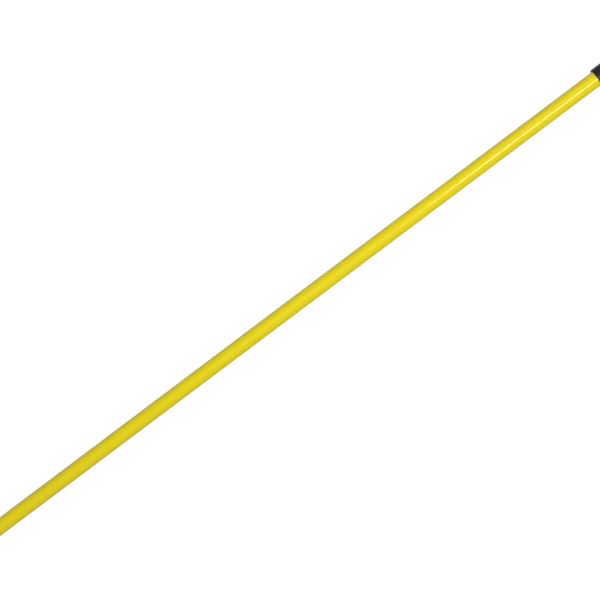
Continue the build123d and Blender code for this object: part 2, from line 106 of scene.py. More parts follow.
class Body(Enum):
    """The pole's moving bodies."""

    OUTER = "outer_section"
    RING = "clamp_ring"
    NUT = "lock_nut"
    BUSH = "guide_bush"
    INNER = "inner_section"


class Slot(Enum):
    """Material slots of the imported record."""

    COAT = "yellow_powder_coat"
    ZINC = "zinc_tube"
    CASTING = "zinc_casting"
    NYLON = "black_nylon"
    RUBBER = "soft_grip"
    ACETAL = "white_acetal"
    FELT = "grey_felt"
    RIVET = "aluminium_rivet"
    PIN = "steel_pin"


class Socket(Enum):
    """Kinds of group socket that the trees here use."""

    FLOAT = "NodeSocketFloat"
    INT = "NodeSocketInt"
    VECTOR = "NodeSocketVector"
    GEOMETRY = "NodeSocketGeometry"
    MATERIAL = "NodeSocketMaterial"


class Flow(Enum):
    """Which way a group socket carries its value."""

    IN = "INPUT"
    OUT = "OUTPUT"


# ---------------------------------------------------------------- node trees


@dataclass
class Sketch:
    """Adds and joins the nodes of one tree."""

    tree: bpy.types.NodeTree

    def add(
        self, kind: str, inputs: dict[Any, Any] | None = None, **settings: Any
    ) -> bpy.types.Node:
        """Adds one node.

        Args:
            kind: The node's type name.
            inputs: Socket name or number to a value, or to the socket that feeds it.
            settings: Attributes of the node.

        Returns:
            The new node.
        """
        node = self.tree.nodes.new(kind)
        for name, value in settings.items():
            setattr(node, name, value)
        for key, value in (inputs or {}).items():
            self.feed(node.inputs[key], value)
        return node

    def feed(self, socket: bpy.types.NodeSocket, value: Any) -> None:
        """Links a socket to another one, or sets its value.

        Args:
            socket: The input socket.
            value: An output socket, or a plain value.
        """
        if isinstance(value, bpy.types.NodeSocket):
            self.tree.links.new(value, socket)
        else:
            socket.default_value = value

    def math(self, operation: str, *values: Any) -> bpy.types.NodeSocket:
        """Adds a Math node.

        Args:
            operation: The sum it does.
            values: Its inputs, each a number or a socket.

        Returns:
            Its result.
        """
        node = self.add("ShaderNodeMath", dict(enumerate(values)), operation=operation)
        return node.outputs[0]

    def group(self, tree: bpy.types.NodeTree, **inputs: Any) -> bpy.types.Node:
        """Places a shader group.

        Args:
            tree: The group.
            inputs: Its inputs by name, with an underscore for each space.

        Returns:
            The group's node.
        """
        return self.add("ShaderNodeGroup", spaced(inputs), node_tree=tree)


def spaced(values: dict[str, Any]) -> dict[str, Any]:
    """The values by socket name, with a space for each underscore."""
    return {name.replace("_", " "): value for name, value in values.items()}


def new_tree(name: str, kind: str, sockets: Iterable[tuple[Flow, str, Socket, Any]]) -> Sketch:
    """Makes an empty group with its sockets.

    Args:
        name: The group's name.
        kind: ShaderNodeTree or GeometryNodeTree.
        sockets: Way, name, kind and starting value (None for none) of each socket.

    Returns:
        A sketch of the new group.
    """
    tree = bpy.data.node_groups.new(name, kind)
    for flow, label, socket, value in sockets:
        item = tree.interface.new_socket(name=label, in_out=flow.value, socket_type=socket.value)
        if value is not None:
            item.default_value = value
    return Sketch(tree)


# ------------------------------------------------------------ shared effects


@dataclass(frozen=True)
class Effects:
    """Shader groups that several finishes share."""

    mottle: bpy.types.NodeTree
    grain: bpy.types.NodeTree
    scuffs: bpy.types.NodeTree
    hollows: bpy.types.NodeTree

    @classmethod
    def make(cls) -> Effects:
        """Builds the groups once."""
        return cls(mottle_group(), grain_group(), scuff_group(), hollow_group())


def mottle_group() -> bpy.types.NodeTree:
    """Slow, soft change over the surface, between a low and a high value.

    Returns:
        The group, with the output Value.
    """
    sketch = new_tree(
        "slow_mottle",
        "ShaderNodeTree",
        (
            (Flow.IN, "Vector", Socket.VECTOR, None),
            (Flow.IN, "Size", Socket.FLOAT, 0.1),
            (Flow.IN, "Low", Socket.FLOAT, 0.95),
            (Flow.IN, "High", Socket.FLOAT, 1.05),
            (Flow.OUT, "Value", Socket.FLOAT, None),
        ),
    )
    given = sketch.add("NodeGroupInput").outputs
    scale = sketch.math("DIVIDE", 1.0, given["Size"])
    noise = sketch.add(
        "ShaderNodeTexNoise", {"Vector": given["Vector"], "Scale": scale, "Detail": 2.0}
    )
    spread = sketch.add(
        "ShaderNodeMapRange",
        {
            "Value": noise.outputs[0],
            "From Min": NOISE_LOW,
            "From Max": NOISE_HIGH,
            "To Min": given["Low"],
            "To Max": given["High"],
        },
    )
    sketch.add("NodeGroupOutput", {"Value": spread.outputs["Result"]})
    return sketch.tree


def grain_group() -> bpy.types.NodeTree:
    """Fine grain, as a height for bump and a tone for colour or roughness.

    Returns:
        The group, with the outputs Height and Tone.
    """
    sketch = new_tree(
        "fine_grain",
        "ShaderNodeTree",
        (
            (Flow.IN, "Vector", Socket.VECTOR, None),
            (Flow.IN, "Size", Socket.FLOAT, 0.001),
            (Flow.IN, "Softness", Socket.FLOAT, 0.5),
            (Flow.OUT, "Height", Socket.FLOAT, None),
            (Flow.OUT, "Tone", Socket.FLOAT, None),
        ),
    )
    given = sketch.add("NodeGroupInput").outputs
    scale = sketch.math("DIVIDE", 1.0, given["Size"])
    noise = sketch.add(
        "ShaderNodeTexNoise",
        {"Vector": given["Vector"], "Scale": scale, "Detail": 3.0, "Roughness": given["Softness"]},
    )
    cells = sketch.add("ShaderNodeTexVoronoi", {"Vector": given["Vector"], "Scale": scale})
    height = sketch.math("MULTIPLY_ADD", cells.outputs["Distance"], PIT_WEIGHT, noise.outputs[0])
    sketch.add("NodeGroupOutput", {"Height": height, "Tone": noise.outputs[0]})
    return sketch.tree


def scuff_group() -> bpy.types.NodeTree:
    """Thin marks that run along the pole, as a mask.

    Returns:
        The group, with the output Mask.
    """
    sketch = new_tree(
        "lengthwise_scuffs",
        "ShaderNodeTree",
        (
            (Flow.IN, "Vector", Socket.VECTOR, None),
            (Flow.IN, "Length", Socket.FLOAT, 0.1),
            (Flow.IN, "Width", Socket.FLOAT, 0.0005),
            (Flow.IN, "Share", Socket.FLOAT, 0.35),
            (Flow.OUT, "Mask", Socket.FLOAT, None),
        ),
    )
    given = sketch.add("NodeGroupInput").outputs
    along = sketch.math("DIVIDE", 1.0, given["Length"])
    across = sketch.math("DIVIDE", 1.0, given["Width"])
    stretch = sketch.add("ShaderNodeCombineXYZ", {"X": along, "Y": across, "Z": across})
    spot = sketch.add(
        "ShaderNodeVectorMath",
        {0: given["Vector"], 1: stretch.outputs[0]},
        operation="MULTIPLY",
    )
    noise = sketch.add(
        "ShaderNodeTexNoise", {"Vector": spot.outputs[0], "Scale": 1.0, "Detail": 2.0}
    )
    edge = sketch.math("SUBTRACT", 1.0, given["Share"])
    top = sketch.math("ADD", edge, SCUFF_FADE)
    mask = sketch.add(
        "ShaderNodeMapRange",
        {"Value": noise.outputs[0], "From Min": edge, "From Max": top},
        interpolation_type="SMOOTHSTEP",
    )
    sketch.add("NodeGroupOutput", {"Mask": mask.outputs["Result"]})
    return sketch.tree


def hollow_group() -> bpy.types.NodeTree:
    """How deep a point lies below a round piece's crests, as a patchy mask: dust on the rubber, a
    darker tone on the casting.

    Returns:
        The group, with the output Mask: none on the crests, one at the full depth.
    """
    sketch = new_tree(
        "depth_below_crests",
        "ShaderNodeTree",
        (
            (Flow.IN, "Vector", Socket.VECTOR, None),
            (Flow.IN, "Axis Height", Socket.FLOAT, 0.0),
            (Flow.IN, "Crest", Socket.FLOAT, 0.015),
            (Flow.IN, "Depth", Socket.FLOAT, 0.001),
            (Flow.IN, "Patch", Socket.FLOAT, 0.01),
            (Flow.OUT, "Mask", Socket.FLOAT, None),
        ),
    )
    given = sketch.add("NodeGroupInput").outputs
    place = sketch.add("ShaderNodeSeparateXYZ", {0: given["Vector"]}).outputs
    above = sketch.math("SUBTRACT", place["Z"], given["Axis Height"])
    aside = sketch.math("MULTIPLY", place["Y"], place["Y"])
    squares = sketch.math("MULTIPLY_ADD", above, above, aside)
    below = sketch.math("SUBTRACT", given["Crest"], sketch.math("SQRT", squares))
    depth = sketch.math("DIVIDE", below, given["Depth"])
    scale = sketch.math("DIVIDE", 1.0, given["Patch"])
    patch = sketch.add(
        "ShaderNodeTexNoise", {"Vector": given["Vector"], "Scale": scale, "Detail": 4.0}
    )
    shifted_depth = sketch.math("SUBTRACT", depth, PATCH_WEIGHT / 2)
    broken = sketch.math("MULTIPLY_ADD", patch.outputs[0], PATCH_WEIGHT, shifted_depth)
    mask = sketch.add("ShaderNodeMapRange", {"Value": broken}, interpolation_type="SMOOTHSTEP")
    sketch.add("NodeGroupOutput", {"Mask": mask.outputs["Result"]})
    return sketch.tree


# ------------------------------------------------------------------ finishes


@dataclass(frozen=True)
class Hollows:
    """What lies below a round piece's crests, dust on the rubber and a darker tone on the casting:
    where it starts, in metres, and how it looks.
    """

    crest: float
    depth: float
    patch: float
    colour: Colour
    gloss: float


@dataclass(frozen=True)
class Finish:
    """A finish of one slot: its colour, gloss and surface texture."""

    slot: Slot
    colour: Colour
    roughness: float
    variant: str = ""
    metallic: float = 0.0
    specular: float = 0.5
    sheen: float = 0.0
    subsurface: float = 0.0
    tone_spread: float = 0.03
    tone_size: float = 0.08
    gloss_spread: float = 0.05
    grain_size: float = 0.001
    grain_depth: float = 0.00001
    scuff_share: float = 0.0
    scuff_length: float = 0.12
    scuff_width: float = 0.0006
    scuff_colour: Colour = (0.5, 0.5, 0.5)
    scuff_gloss: float = 0.1
    hollows: Hollows | None = None

    @property
    def name(self) -> str:
        """The material's name: its slot's, with the variant's where it has one."""
        return self.slot.value + self.variant

    def build(self, effects: Effects, axis_height: float) -> bpy.types.Material:
        """Makes the material.

        Args:
            effects: The shared shader groups.
            axis_height: Height of the pole's axis, in metres.

        Returns:
            The material.
        """
        material = bpy.data.materials.new(self.name)
        material.use_nodes = True
        material.node_tree.nodes.clear()
        sketch = Sketch(material.node_tree)
        place = sketch.add("ShaderNodeTexCoord").outputs["Object"]
        shader = sketch.add(
            "ShaderNodeBsdfPrincipled",
            {
                "Metallic": self.metallic,
                "Specular IOR Level": self.specular,
                "Sheen Weight": self.sheen,
                "Subsurface Weight": self.subsurface,
                "Subsurface Scale": GLOW_DEPTH,
            },
        )
        tone = sketch.group(
            effects.mottle,
            Vector=place,
            Size=self.tone_size,
            Low=1.0 - self.tone_spread,
            High=1.0 + self.tone_spread,
        ).outputs["Value"]
        grain = sketch.group(
            effects.grain, Vector=place, Size=self.grain_size, Softness=GRAIN_SOFTNESS
        )
        colour = sketch.add(
            "ShaderNodeVectorMath", {0: self.colour, "Scale": tone}, operation="SCALE"
        ).outputs[0]
        speck = grain.outputs["Tone"]
        gloss = sketch.math("MULTIPLY_ADD", speck, self.gloss_spread, self.roughness)
        if self.scuff_share:
            mask = sketch.group(
                effects.scuffs,
                Vector=place,
                Length=self.scuff_length,
                Width=self.scuff_width,
                Share=self.scuff_share,
            ).outputs["Mask"]
            over, change = self.scuff_colour, self.scuff_gloss
            colour, gloss = overlay(sketch, mask, colour, over, gloss, change)
        if self.hollows:
            mask = sketch.group(
                effects.hollows,
                Vector=place,
                Axis_Height=axis_height,
                Crest=self.hollows.crest,
                Depth=self.hollows.depth,
                Patch=self.hollows.patch,
            ).outputs["Mask"]
            over, change = self.hollows.colour, self.hollows.gloss
            colour, gloss = overlay(sketch, mask, colour, over, gloss, change)
        sketch.feed(shader.inputs["Base Color"], colour)
        sketch.feed(shader.inputs["Roughness"], gloss)
        bump = sketch.add(
            "ShaderNodeBump", {"Height": grain.outputs["Height"], "Distance": self.grain_depth}
        )
        sketch.feed(shader.inputs["Normal"], bump.outputs["Normal"])
        sketch.add("ShaderNodeOutputMaterial", {"Surface": shader.outputs[0]})
        return material


def overlay(
    sketch: Sketch,
    mask: bpy.types.NodeSocket,
    colour: bpy.types.NodeSocket,
    over: Colour,
    gloss: bpy.types.NodeSocket,
    gloss_change: float,
) -> tuple[bpy.types.NodeSocket, bpy.types.NodeSocket]:
    """Lays a second colour over a finish where a mask says, and changes its roughness there.

    Args:
        sketch: The material's tree.
        mask: Where it lies.
        colour: The colour under it.
        over: Its own colour.
        gloss: The roughness under it.
        gloss_change: What it adds to the roughness.

    Returns:
        The new colour and roughness.
    """
    mix = sketch.add("ShaderNodeMix", data_type="RGBA")
    sketch.feed(mix.inputs["Factor"], mask)
    sketch.feed(mix.inputs["A"], colour)
    sketch.feed(mix.inputs["B"], (*over, 1.0))
    return mix.outputs["Result"], sketch.math("MULTIPLY_ADD", mask, gloss_change, gloss)


FINISHES = (
    Finish(
        Slot.COAT,
        colour=(0.80, 0.66, 0.001),
        roughness=0.14,
        tone_spread=0.012,
        tone_size=0.2,
        gloss_spread=0.04,
        grain_size=0.0022,
        grain_depth=0.000012,
    ),
    Finish(
        Slot.ZINC,
        colour=(0.60, 0.61, 0.62),
        roughness=0.26,
        metallic=1.0,
        tone_spread=0.06,
        tone_size=0.03,
        gloss_spread=0.1,
        grain_size=0.0012,
        grain_depth=0.000006,
        scuff_share=0.42,
        scuff_colour=(0.46, 0.47, 0.49),
        scuff_gloss=0.12,
    ),
    Finish(
        Slot.CASTING,
        colour=(0.66, 0.65, 0.62),
        roughness=0.24,
        metallic=1.0,
        tone_spread=0.07,
        tone_size=0.01,
        gloss_spread=0.16,
        grain_size=0.0006,
        grain_depth=0.00001,
        # Below the thread crests the casting turns darker and rougher towards the axis, in patches.
        hollows=Hollows(
            crest=0.0092, depth=0.0050, patch=0.004, colour=(0.40, 0.39, 0.36), gloss=0.20
        ),
    ),
    Finish(
        Slot.NYLON,
        colour=(0.011, 0.011, 0.0125),
        roughness=0.34,
        specular=0.38,
        tone_spread=0.08,
        tone_size=0.03,
        gloss_spread=0.08,
        grain_size=0.0005,
        grain_depth=0.000012,
    ),
    Finish(
        Slot.RUBBER,
        colour=(0.024, 0.024, 0.026),
        roughness=0.46,
        specular=0.45,
        sheen=0.12,
        tone_spread=0.1,
        tone_size=0.04,
        gloss_spread=0.16,
        grain_size=0.0005,
        grain_depth=0.00003,
        hollows=Hollows(
            crest=0.0158, depth=0.0012, patch=0.006, colour=(0.052, 0.050, 0.047), gloss=0.24
        ),
    ),
    Finish(
        Slot.RUBBER,
        variant=COVER,
        colour=(0.022, 0.022, 0.024),
        roughness=0.44,
        specular=0.45,
        sheen=0.12,
        tone_spread=0.1,
        tone_size=0.02,
        gloss_spread=0.16,
        grain_size=0.0005,
        grain_depth=0.00003,
        hollows=Hollows(
            crest=0.0180, depth=0.0016, patch=0.006, colour=(0.046, 0.044, 0.042), gloss=0.24
        ),
    ),
    Finish(
        Slot.ACETAL,
        colour=(0.74, 0.74, 0.70),
        roughness=0.32,
        subsurface=0.15,
        tone_spread=0.02,
        grain_size=0.001,
        grain_depth=0.000006,
    ),
    Finish(
        Slot.FELT,
        colour=(0.16, 0.16, 0.165),
        roughness=0.92,
        sheen=0.4,
        tone_spread=0.25,
        tone_size=0.0012,
        gloss_spread=0.04,
        grain_size=0.0003,
        grain_depth=0.0002,
    ),
    Finish(
        Slot.RIVET,
        colour=(0.74, 0.74, 0.75),
        roughness=0.28,
        metallic=1.0,
        tone_spread=0.04,
        tone_size=0.003,
        gloss_spread=0.12,
        grain_size=0.0003,
        grain_depth=0.000006,
    ),
    Finish(
        Slot.PIN,
        colour=(0.50, 0.50, 0.51),
        roughness=0.30,
        metallic=1.0,
        tone_spread=0.06,
        tone_size=0.002,
        gloss_spread=0.12,
        grain_size=0.0003,
        grain_depth=0.000006,
    ),
)


# --------------------------------------------------------------- turned work


@dataclass(frozen=True)
class Corner:
    """A corner of a turned piece's section, in millimetres."""

    station: float
    radius: float
    rounding: float = 0.15
    cut: float = 0.0


@dataclass
class Outline:
    """The closed section of a turned piece, from corners in order round it.

    A corner's rounding takes up to a share of its shorter side. Where a side is several times as
    long as the rounding, a holding point a little way along keeps its shading flat.
    """

    corners: Sequence[Corner]
    arc_steps: int = 3
    hold: float = 0.4
    side_share: float = 0.45
    long_side: float = 4.0
    straight: float = math.radians(179)

    def points(self) -> list[tuple[float, float, float]]:
        """Rounds the corners.

        Returns:
            Station, radius and depth of cut of each point of the closed section.
        """
        made: list[tuple[float, float, float]] = []
        count = len(self.corners)
        for number, corner in enumerate(self.corners):
            before = self.corners[number - 1]
            after = self.corners[(number + 1) % count]
            made.extend(self._rounded(before, corner, after))
        return made

    def _rounded(
        self, before: Corner, corner: Corner, after: Corner
    ) -> list[tuple[float, float, float]]:
        """One corner's arc, with a holding point each side where there is room.

        Args:
            before: The corner before it.
            corner: The corner itself.
            after: The corner after it.

        Returns:
            The arc's points.
        """
        here = Vector((corner.station, corner.radius))
        back = Vector((before.station, before.radius)) - here
        on = Vector((after.station, after.radius)) - here
        angle = back.angle(on)
        if corner.rounding <= 0 or angle > self.straight:
            return [(here.x, here.y, corner.cut)]
        room = self.side_share * min(back.length, on.length)
        setback = min(corner.rounding / math.tan(angle / 2), room)
        start = here + back.normalized() * setback
        end = here + on.normalized() * setback
        spare = self.long_side * (setback + self.hold)
        points = []
        if back.length > spare:
            points.append(start + back.normalized() * self.hold)
        for step in range(self.arc_steps + 1):
            share = step / self.arc_steps
            near = start.lerp(here, share)
            far = here.lerp(end, share)
            points.append(near.lerp(far, share))
        if on.length > spare:
            points.append(end + on.normalized() * self.hold)
        return [(point.x, point.y, corner.cut) for point in points]


@dataclass
class Lathe:
    """Geometry Nodes that turn a closed section round the pole's axis and drill across it."""

    tree: bpy.types.NodeTree
    drill: bpy.types.NodeTree

    @classmethod
    def make(cls) -> Lathe:
        """Builds both trees once."""
        return cls(cls._turning_tree(), cls._drilling_tree())

    @staticmethod
    def _turning_tree() -> bpy.types.NodeTree:
        """The turning tree: a grid wrapped round the axis takes its places from the section.

        Returns:
            The tree.
        """
        sketch = new_tree(
            "turn_section",
            "GeometryNodeTree",
            (
                (Flow.IN, "Section", Socket.GEOMETRY, None),
                (Flow.IN, "Points", Socket.INT, 8),
                (Flow.IN, "Sectors", Socket.INT, 96),
                (Flow.IN, "Axis Height", Socket.FLOAT, 0.0),
                (Flow.IN, "Flute Count", Socket.INT, 0),
                (Flow.IN, "Flute Reach", Socket.FLOAT, 1.0),
                (Flow.IN, "Flute Radius", Socket.FLOAT, 0.0),
                (Flow.IN, "Rib Count", Socket.INT, 0),
                (Flow.IN, "Rib Depth", Socket.FLOAT, 0.0),
                (Flow.IN, "Material", Socket.MATERIAL, None),
                (Flow.OUT, "Piece", Socket.GEOMETRY, None),
            ),
        )
        given = sketch.add("NodeGroupInput").outputs
        rows = sketch.math("ADD", given["Points"], 1.0)
        columns = sketch.math("ADD", given["Sectors"], 1.0)
        grid = sketch.add("GeometryNodeMeshGrid", {"Vertices X": rows, "Vertices Y": columns})
        spot = sketch.add("GeometryNodeInputPosition").outputs[0]
        place = sketch.add("ShaderNodeSeparateXYZ", {0: spot})
        along = sketch.math("ADD", place.outputs["X"], 0.5)
        row = sketch.math("ROUND", sketch.math("MULTIPLY", along, given["Points"]))
        wrapped = sketch.math("MODULO", row, given["Points"])
        index = sketch.add("FunctionNodeFloatToInt", {0: wrapped}, rounding_mode="ROUND")
        sample = sketch.add(
            "GeometryNodeSampleIndex", data_type="FLOAT_VECTOR", domain="POINT", clamp=True
        )
        sketch.feed(sample.inputs["Geometry"], given["Section"])
        sketch.feed(sample.inputs["Value"], spot)
        sketch.feed(sample.inputs["Index"], index.outputs[0])
        point = sketch.add("ShaderNodeSeparateXYZ", {0: sample.outputs[0]}).outputs
        turn = sketch.math("MULTIPLY", sketch.math("ADD", place.outputs["Y"], 0.5), FULL_TURN)
        radius = Lathe._cut_radius(sketch, given, point, turn)
        across = sketch.math("MULTIPLY", radius, sketch.math("SINE", turn))
        cosine = sketch.math("COSINE", turn)
        upright = sketch.math("MULTIPLY_ADD", radius, cosine, given["Axis Height"])
        target = sketch.add("ShaderNodeCombineXYZ", {"X": point["X"], "Y": across, "Z": upright})
        moved = sketch.add(
            "GeometryNodeSetPosition",
            {"Geometry": grid.outputs["Mesh"], "Position": target.outputs[0]},
        )
        closed = sketch.add(
            "GeometryNodeMergeByDistance",
            {"Geometry": moved.outputs[0], "Distance": MERGE_DISTANCE},
        )
        smooth = sketch.add(
            "GeometryNodeSetShadeSmooth", {"Geometry": closed.outputs[0], "Shade Smooth": True}
        )
        real = sketch.add("GeometryNodeRealizeInstances", {"Geometry": smooth.outputs[0]})
        dressed = sketch.add(
            "GeometryNodeSetMaterial", {"Geometry": real.outputs[0], "Material": given["Material"]}
        )
        sketch.add("NodeGroupOutput", {"Piece": dressed.outputs[0]})
        return sketch.tree

    @staticmethod
    def _cut_radius(
        sketch: Sketch,
        given: bpy.types.NodeOutputs,
        point: bpy.types.NodeOutputs,
        turn: bpy.types.NodeSocket,
    ) -> bpy.types.NodeSocket:
        """The radius at a turn once flutes and ribs are cut, scaled by the point's own cut.

        Args:
            sketch: The turning tree.
            given: The tree's inputs.
            point: Station, radius and cut of the section's point.
            turn: Angle round the axis.

        Returns:
            The radius there.
        """
        turned = sketch.math("MULTIPLY", turn, given["Flute Count"])
        share = sketch.math("DIVIDE", turned, FULL_TURN)
        off = sketch.math("SUBTRACT", share, sketch.math("ROUND", share))
        safe = sketch.math("MAXIMUM", given["Flute Count"], 1.0)
        lean = sketch.math("DIVIDE", sketch.math("MULTIPLY", off, FULL_TURN), safe)
        reach = given["Flute Reach"]
        beside = sketch.math("MULTIPLY", reach, sketch.math("SINE", lean))
        ahead = sketch.math("MULTIPLY", reach, sketch.math("COSINE", lean))
        cutter = given["Flute Radius"]
        cutter_square = sketch.math("MULTIPLY", cutter, cutter)
        under = sketch.math("SUBTRACT", cutter_square, sketch.math("MULTIPLY", beside, beside))
        depth = sketch.math("SQRT", sketch.math("MAXIMUM", under, 0.0))
        floor = sketch.math("SUBTRACT", ahead, depth)
        flute = sketch.math("MAXIMUM", sketch.math("SUBTRACT", point["Y"], floor), 0.0)
        wave = sketch.math("COSINE", sketch.math("MULTIPLY", turn, given["Rib Count"]))
        hollow = sketch.math("MULTIPLY_ADD", wave, -0.5, 0.5)
        rib = sketch.math("MULTIPLY", hollow, given["Rib Depth"])
        both = sketch.math("ADD", flute, rib)
        return sketch.math("SUBTRACT", point["Y"], sketch.math("MULTIPLY", both, point["Z"]))

    @staticmethod
    def _drilling_tree() -> bpy.types.NodeTree:
        """The drilling tree: one round hole across the pole.

        Returns:
            The tree.
        """
        sketch = new_tree(
            "cross_drill",
            "GeometryNodeTree",
            (
                (Flow.IN, "Piece", Socket.GEOMETRY, None),
                (Flow.IN, "Station", Socket.FLOAT, 0.0),
                (Flow.IN, "Axis Height", Socket.FLOAT, 0.0),
                (Flow.IN, "Hole Radius", Socket.FLOAT, 0.0015),
                (Flow.IN, "Drill Length", Socket.FLOAT, 0.1),
                (Flow.IN, "Material", Socket.MATERIAL, None),
                (Flow.OUT, "Piece", Socket.GEOMETRY, None),
            ),
        )
        given = sketch.add("NodeGroupInput").outputs
        radius, length = given["Hole Radius"], given["Drill Length"]
        rod = sketch.add(
            "GeometryNodeMeshCylinder",
            {"Vertices": DRILL_FACES, "Radius": radius, "Depth": length},
        )
        spot = sketch.add(
            "ShaderNodeCombineXYZ", {"X": given["Station"], "Z": given["Axis Height"]}
        )
        laid = sketch.add(
            "GeometryNodeTransform",
            {
                "Geometry": rod.outputs["Mesh"],
                "Translation": spot.outputs[0],
                "Rotation": (math.pi / 2, 0.0, 0.0),
            },
        )
        cut = sketch.add("GeometryNodeMeshBoolean", operation="DIFFERENCE", solver="EXACT")
        sketch.feed(cut.inputs["Mesh 1"], given["Piece"])
        sketch.feed(cut.inputs["Mesh 2"], laid.outputs[0])
        real = sketch.add("GeometryNodeRealizeInstances", {"Geometry": cut.outputs[0]})
        dressed = sketch.add(
            "GeometryNodeSetMaterial", {"Geometry": real.outputs[0], "Material": given["Material"]}
        )
        sketch.add("NodeGroupOutput", {"Piece": dressed.outputs[0]})
        return sketch.tree

    def turn(
        self,
        name: str,
        outline: Outline,
        material: bpy.types.Material,
        axis_height: float,
        sectors: int,
        holes: Iterable[tuple[float, float]] = (),
        **cuts: float,
    ) -> bpy.types.Object:
        """Turns a section into a plain mesh object.

        Args:
            name: The piece's name.
            outline: Its section, with stations along the world's X.
            material: Its finish.
            axis_height: Height of the pole's axis, in metres.
            sectors: Faces round it.
            holes: Station and radius of each cross hole, in millimetres.
            cuts: Inputs of the turning tree for flutes or ribs, an underscore for each space.

        Returns:
            The piece, at the origin.
        """
        points = outline.points()
        mesh = bpy.data.meshes.new(name)
        mesh.from_pydata([(x * MM, r * MM, cut) for x, r, cut in points], [], [])
        piece = bpy.data.objects.new(name, mesh)
        bpy.context.scene.collection.objects.link(piece)
        values = {
            "Points": len(points),
            "Sectors": sectors,
            "Axis Height": axis_height,
            "Material": material,
            **spaced(cuts),
        }
        run_tree(piece, self.tree, values)
        outward(piece)
        for station, radius in holes:
            values = {
                "Station": station * MM,
                "Axis Height": axis_height,
                "Hole Radius": radius * MM,
                "Material": material,
            }
            run_tree(piece, self.drill, values)
        if holes:
            piece.data.set_sharp_from_angle(angle=SHARP_ANGLE)
        return piece


def run_tree(piece: bpy.types.Object, tree: bpy.types.NodeTree, values: dict[str, Any]) -> None:
    """Runs a geometry tree on a piece and keeps the result as its plain mesh.

    Args:
        piece: The piece, whose mesh is the tree's geometry input.
        tree: The tree.
        values: The tree's inputs by name.
    """
    modifier = piece.modifiers.new(tree.name, "NODES")
    modifier.node_group = tree
    for item in tree.interface.items_tree:
        if item.item_type == "SOCKET" and item.in_out == Flow.IN.value and item.name in values:
            modifier[item.identifier] = values[item.name]
    bpy.context.view_layer.update()
    evaluated = piece.evaluated_get(bpy.context.evaluated_depsgraph_get())
    result = bpy.data.meshes.new_from_object(evaluated)
    piece.modifiers.remove(modifier)
    old = piece.data
    piece.data = result
    result.name = piece.name
    bpy.data.meshes.remove(old)


def outward(piece: bpy.types.Object) -> None:
    """Points a closed piece's faces outwards, and drops edges that hold no face.

    Args:
        piece: The piece, whose mesh is changed.
    """
    work = bmesh.new()
    work.from_mesh(piece.data)
    bare = [edge for edge in work.edges if not edge.link_faces]
    bmesh.ops.delete(work, geom=bare, context="EDGES")
    bmesh.ops.recalc_face_normals(work, faces=work.faces)
    if work.calc_volume(signed=True) < 0:
        bmesh.ops.reverse_faces(work, faces=work.faces)
    work.to_mesh(piece.data)
    work.free()
    piece.data.update()


# -------------------------------------------------------------- sub-assemblies


@dataclass
class Workshop:
    """What every sub-assembly works with.

    The frame, the finishes by material name, the lathe and the height of the pole's axis in metres.
    """

    frame: dict[str, Any]
    finishes: dict[str, bpy.types.Material]
    lathe: Lathe
    axis_height: float

    def span(self, node: str) -> tuple[float, float, float]:
        """Where a round CAD node lies.

        Args:
            node: The node's name.

        Returns:
            Its first and last station and its radius, in millimetres.
        """
        low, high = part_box(node)
        return low.x / MM, high.x / MM, (high.y - low.y) / 2 / MM

    def middle(self, node: str) -> float:
        """Station of a CAD node's middle, in millimetres."""
        first, last, _ = self.span(node)
        return (first + last) / 2

    def dress(self, nodes: dict[str, Slot]) -> None:
        """Gives CAD nodes their finishes.

        Args:
            nodes: Node name to slot.
        """
        for node, slot in nodes.items():
            for held in self.frame["nodes"][node].material_slots:
                held.material = self.finishes[slot.value]
            LOG.info("dressed %s in %s", node, slot.value)

    def mount(self, piece: bpy.types.Object, body: Body, slot: Slot, *replaced: str) -> None:
        """Joins a new piece to the frame.

        Args:
            piece: The piece.
            body: The body it moves with.
            slot: The piece's slot; not used.
            replaced: The CAD nodes it stands for.
        """
        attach(piece, body.value)
        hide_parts(*replaced)
        LOG.info("made %s, %d faces, on %s", piece.name, len(piece.data.polygons), body.value)


@dataclass(frozen=True)
class DrilledTube:
    """A thin steel tube with a hole across it at each of its pins or rivets."""

    name: str
    node: str
    slot: Slot
    wall: float
    edge: float
    pins: tuple[str, ...]
    hole_radius: float = 1.55
    hole_margin: float = 3.0
    sectors: int = 128

    def build(self, shop: Workshop, body: Body) -> None:
        """Turns and drills the tube, with a ring of points each side of every hole.

        Args:
            shop: The workshop.
            body: The body it moves with.
        """
        first, last, radius = shop.span(self.node)
        inner = radius - self.wall
        holes = [(shop.middle(pin), self.hole_radius) for pin in self.pins]
        sides = (-self.hole_margin, self.hole_margin)
        rings = [station + side for station, _ in holes for side in sides]
        corners = [Corner(first, inner, self.edge), Corner(first, radius, self.edge)]
        corners += [Corner(station, radius, 0.0) for station in rings]
        corners += [Corner(last, radius, self.edge), Corner(last, inner, self.edge)]
        corners += [Corner(station, inner, 0.0) for station in reversed(rings)]
        piece = shop.lathe.turn(
            self.name,
            Outline(corners),
            shop.finishes[self.slot.value],
            shop.axis_height,
            self.sectors,
            holes,
        )
        shop.mount(piece, body, self.slot, self.node)


